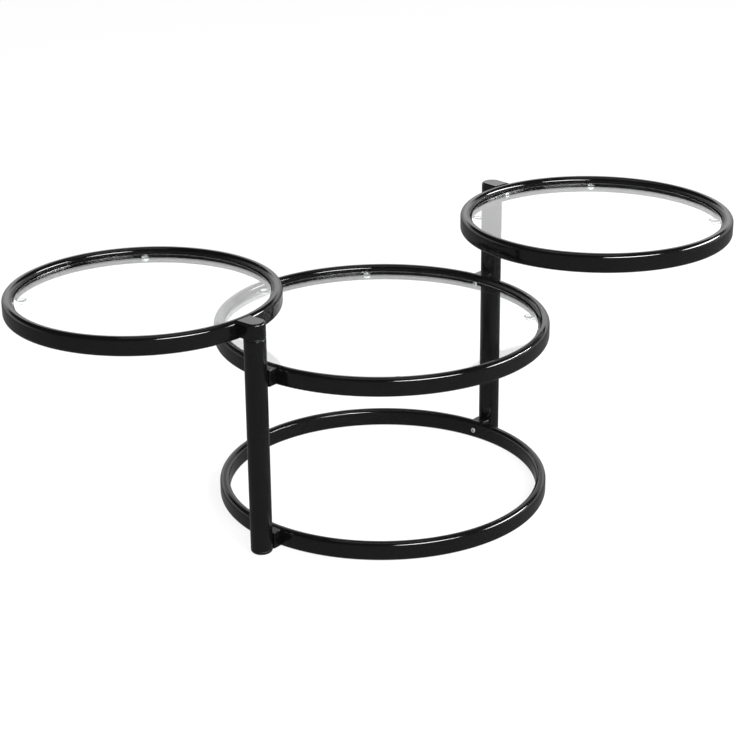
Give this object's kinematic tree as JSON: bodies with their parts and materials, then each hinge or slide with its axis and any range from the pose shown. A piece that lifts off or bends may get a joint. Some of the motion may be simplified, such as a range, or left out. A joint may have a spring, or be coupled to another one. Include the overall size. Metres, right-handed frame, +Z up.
{
  "type": "swivel coffee table",
  "caption": "Round glass coffee table on a black steel ring frame, with smaller glass shelves that swivel out on the tops of its posts.",
  "frame": {"origin": "centre of the base ring, on the floor", "axes": "+Z up; -Y towards the viewer of the picture; +X to the right, where the highest shelf is swung out"},
  "size_m": [1.0665, 0.5295, 0.424],
  "materials": {
    "gloss_black_steel": "gloss black powder coat",
    "clear_glass": "clear tempered float glass, polished edge",
    "clear_plastic": "clear soft moulded plastic",
    "black_nylon": "moulded black nylon",
    "black_foot_plastic": "moulded black polyethylene",
    "zinc_steel": "bright zinc plate"
  },
  "bodies": {
    "frame": {"base_ring": "gloss_black_steel", "base_ring_bolts": "zinc_steel", "middle_ring": "gloss_black_steel", "middle_ring_bolts": "zinc_steel", "middle_glass": "clear_glass", "middle_glass_pegs": "clear_plastic", "middle_suction_pads": "clear_plastic", "front_base_stub": "gloss_black_steel", "front_middle_stub": "gloss_black_steel", "front_post": "gloss_black_steel", "front_post_foot": "black_foot_plastic", "front_flanged_bush": "black_nylon", "front_lower_bush": "black_nylon", "rear_base_stub": "gloss_black_steel", "rear_middle_stub": "gloss_black_steel", "rear_post": "gloss_black_steel", "rear_post_foot": "black_foot_plastic", "rear_flanged_bush": "black_nylon", "rear_lower_bush": "black_nylon"},
    "left_shelf": {"left_ring": "gloss_black_steel", "left_head_bolt": "zinc_steel", "left_glass": "clear_glass", "left_glass_pegs": "clear_plastic", "left_suction_pads": "clear_plastic", "left_swivel_head": "gloss_black_steel", "left_spindle": "zinc_steel", "left_retaining_clip": "zinc_steel"},
    "right_shelf": {"right_ring": "gloss_black_steel", "right_head_bolt": "zinc_steel", "right_glass": "clear_glass", "right_glass_pegs": "clear_plastic", "right_suction_pads": "clear_plastic", "right_swivel_head": "gloss_black_steel", "right_spindle": "zinc_steel", "right_retaining_clip": "zinc_steel"}
  },
  "joints": [
    {"name": "left_swivel", "type": "hinge", "parent": "frame", "child": "left_shelf", "pos_m": [-0.17432, -0.21527, 0.325], "axis": [0, 0, 1], "continuous": true},
    {"name": "right_swivel", "type": "hinge", "parent": "frame", "child": "right_shelf", "pos_m": [0.17432, 0.21527, 0.3955], "axis": [0, 0, 1], "continuous": true}
  ]
}
